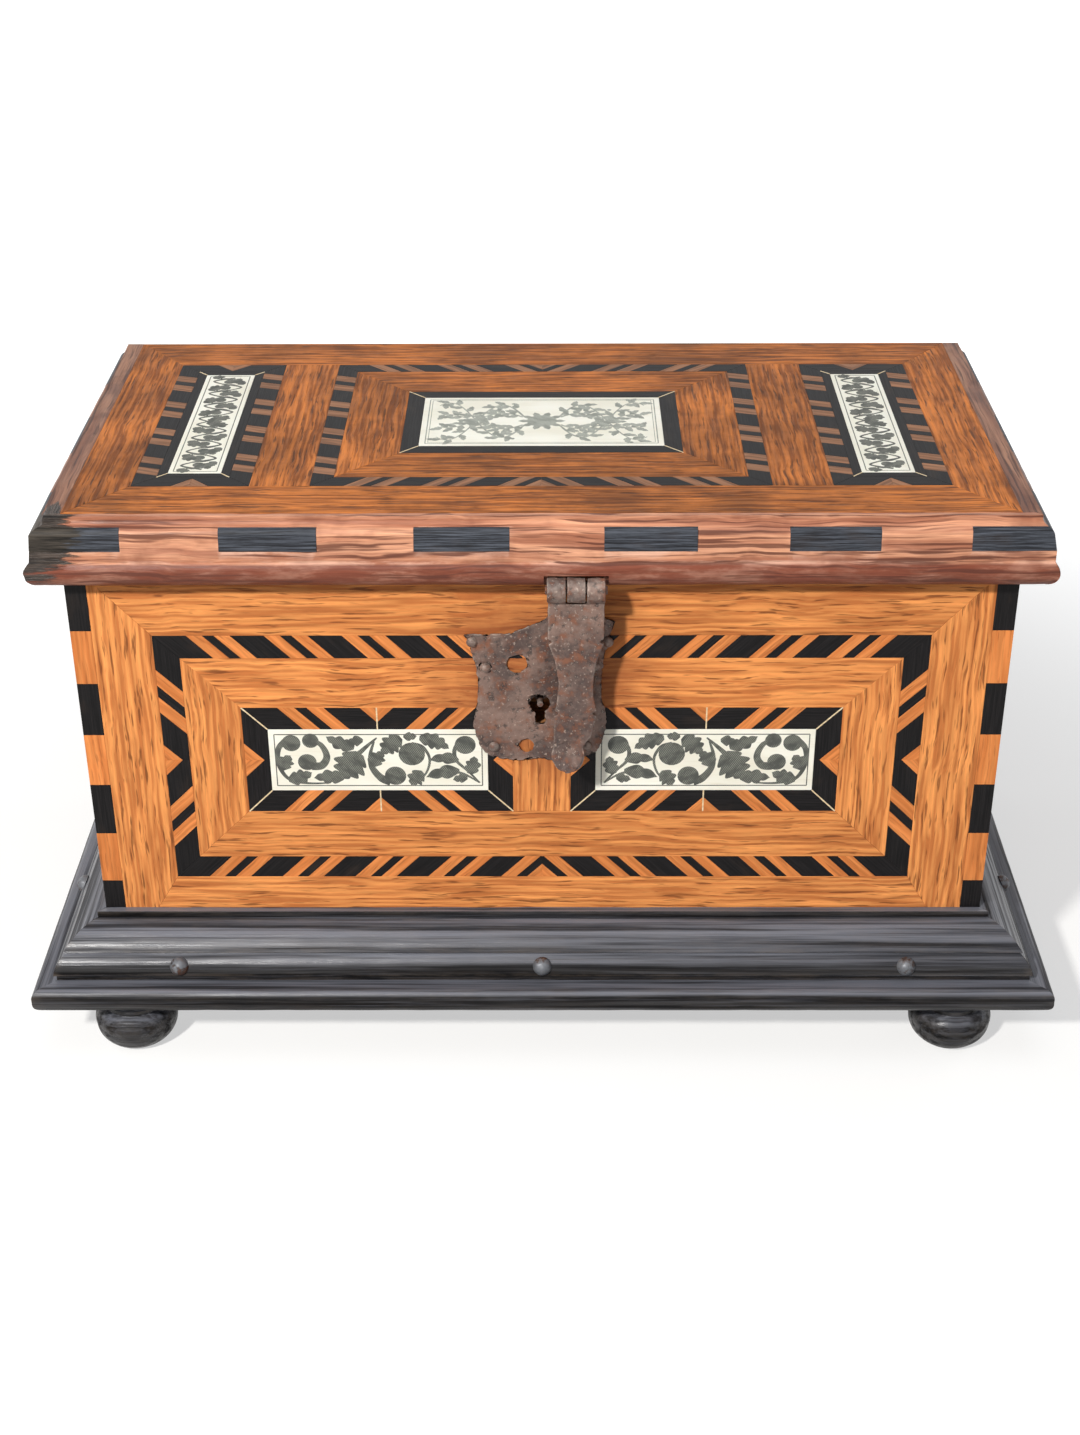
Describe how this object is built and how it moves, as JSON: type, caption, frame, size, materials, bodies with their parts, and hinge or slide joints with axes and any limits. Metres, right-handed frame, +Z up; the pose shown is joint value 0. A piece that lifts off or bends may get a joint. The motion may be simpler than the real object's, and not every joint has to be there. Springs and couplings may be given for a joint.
{
  "type": "wooden casket",
  "caption": "Small inlaid wooden casket on a moulded plinth with turned feet, with a hinged lid, an iron hasp and staple, and a sliding lock bolt behind a nailed plate.",
  "frame": {"origin": "on the floor under the middle of the plinth, level with the soles of the feet", "axes": "+X to the viewer's right along the front, -Y out of the front with the lock, +Z up"},
  "size_m": [0.382, 0.217, 0.2175],
  "materials": {
    "carcase_wood": "plain, aged, unpolished",
    "oak_veneer": "waxed, with dark pores along the grain",
    "lid_veneer": "waxed and rubbed",
    "fruitwood": "waxed",
    "ebony": "polished",
    "rosewood": "waxed and worn",
    "ebonised_wood": "blackened, worn at the edges",
    "bone": "bone, engraved and rubbed with black",
    "iron": "forged, rusted and pitted"
  },
  "bodies": {
    "case": {"back_board": "carcase_wood", "base_moulding_back": "ebonised_wood", "base_moulding_front": "ebonised_wood", "base_moulding_left": "ebonised_wood", "base_moulding_right": "ebonised_wood", "base_nails": "iron", "bolt_guides": "iron", "bolt_spring": "iron", "bottom_board": "carcase_wood", "case_nails": "iron", "drill_pin": "iron", "ebony_corner_blocks": "ebony", "end_band_ebony": "ebony", "end_band_wood": "fruitwood", "foot_back_left": "ebonised_wood", "foot_back_right": "ebonised_wood", "foot_front_left": "ebonised_wood", "foot_front_right": "ebonised_wood", "front_band_ebony": "ebony", "front_band_wood": "fruitwood", "front_board": "carcase_wood", "front_border": "oak_veneer", "front_field": "oak_veneer", "front_left_plaque": "bone", "front_right_plaque": "bone", "fruitwood_corner_blocks": "fruitwood", "hinge_pins": "iron", "left_end_board": "carcase_wood", "left_end_border": "oak_veneer", "left_end_field": "oak_veneer", "left_hinge_case_leaf": "iron", "lock_plate": "iron", "plinth_board": "ebonised_wood", "right_end_board": "carcase_wood", "right_end_border": "oak_veneer", "right_end_field": "oak_veneer", "right_hinge_case_leaf": "iron"},
    "lid": {"hasp_hinge_leaf": "iron", "hasp_hinge_pin": "iron", "left_hinge_lid_leaf": "iron", "lid_band_ebony": "ebony", "lid_band_wood": "fruitwood", "lid_board": "carcase_wood", "lid_border": "lid_veneer", "lid_centre_field": "lid_veneer", "lid_centre_plaque": "bone", "lid_cross_rails": "lid_veneer", "lid_fillets": "ebony", "lid_left_plaque": "bone", "lid_moulding_blocks": "ebony", "lid_moulding_front": "rosewood", "lid_moulding_left": "rosewood", "lid_moulding_right": "rosewood", "lid_nails": "iron", "lid_right_plaque": "bone", "right_hinge_lid_leaf": "iron"},
    "hasp": {"hasp_strap": "iron", "hasp_staple": "iron"},
    "bolt": {"lock_bolt": "iron"}
  },
  "joints": [
    {"name": "lid_hinge", "type": "hinge", "parent": "case", "child": "lid", "pos_m": [0, 0.0868, 0.1915], "axis": [-1, 0, 0], "range_deg": [0, 105]},
    {"name": "hasp_hinge", "type": "hinge", "parent": "lid", "child": "hasp", "pos_m": [0.012, -0.0945, 0.19345], "axis": [-1, 0, 0], "range_deg": [-9.5, 170]},
    {"name": "bolt_slide", "type": "slide", "parent": "case", "child": "bolt", "axis": [1, 0, 0], "range_m": [0, 0.007]}
  ]
}
